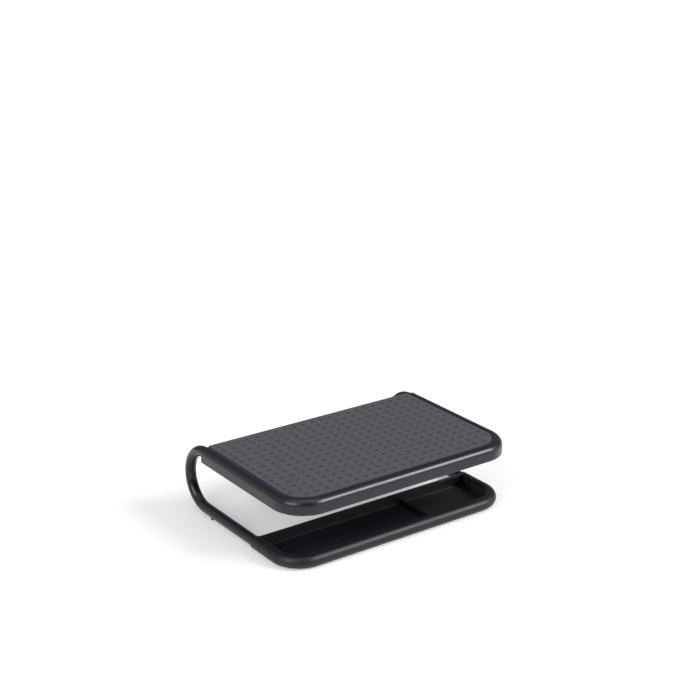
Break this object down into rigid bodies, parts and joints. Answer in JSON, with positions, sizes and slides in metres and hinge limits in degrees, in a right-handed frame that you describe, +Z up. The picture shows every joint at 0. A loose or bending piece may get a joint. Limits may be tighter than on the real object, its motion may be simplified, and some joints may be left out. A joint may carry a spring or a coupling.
{
  "type": "monitor riser stand",
  "caption": "Low monitor riser: dimpled rectangular platform with rolled rim on C-bent side tubes, with a shallow divided pen tray between the lower legs.",
  "frame": {"origin": "centre of the footprint, on the desk surface that the feet stand on", "axes": "+X to the user's right along the width, +Y away from the user towards the rear bends, +Z up"},
  "size_m": [0.39, 0.2918, 0.108],
  "materials": {
    "platform_plastic": "moulded black plastic: finely textured, dimpled top face with a satin rim and skirt",
    "tray_plastic": "satin to semi-gloss moulded black plastic",
    "tube_paint": "smooth semi-gloss black powder coat on steel tube",
    "plug_plastic": "plain moulded black nylon",
    "screw_steel": "zinc-plated steel",
    "foot_rubber": "soft matte black rubber"
  },
  "bodies": {
    "root": {"top_platform": "platform_plastic", "storage_tray": "tray_plastic", "left_side_tube": "tube_paint", "right_side_tube": "tube_paint", "left_upper_end_plug": "plug_plastic", "right_upper_end_plug": "plug_plastic", "left_lower_end_plug": "plug_plastic", "right_lower_end_plug": "plug_plastic", "left_front_platform_screw": "screw_steel", "right_front_platform_screw": "screw_steel", "left_rear_platform_screw": "screw_steel", "right_rear_platform_screw": "screw_steel", "left_tray_screw": "screw_steel", "right_tray_screw": "screw_steel", "left_rear_foot": "foot_rubber", "right_rear_foot": "foot_rubber", "left_front_tray_pad": "foot_rubber", "right_front_tray_pad": "foot_rubber", "left_rear_tray_pad": "foot_rubber", "right_rear_tray_pad": "foot_rubber"}
  },
  "joints": []
}
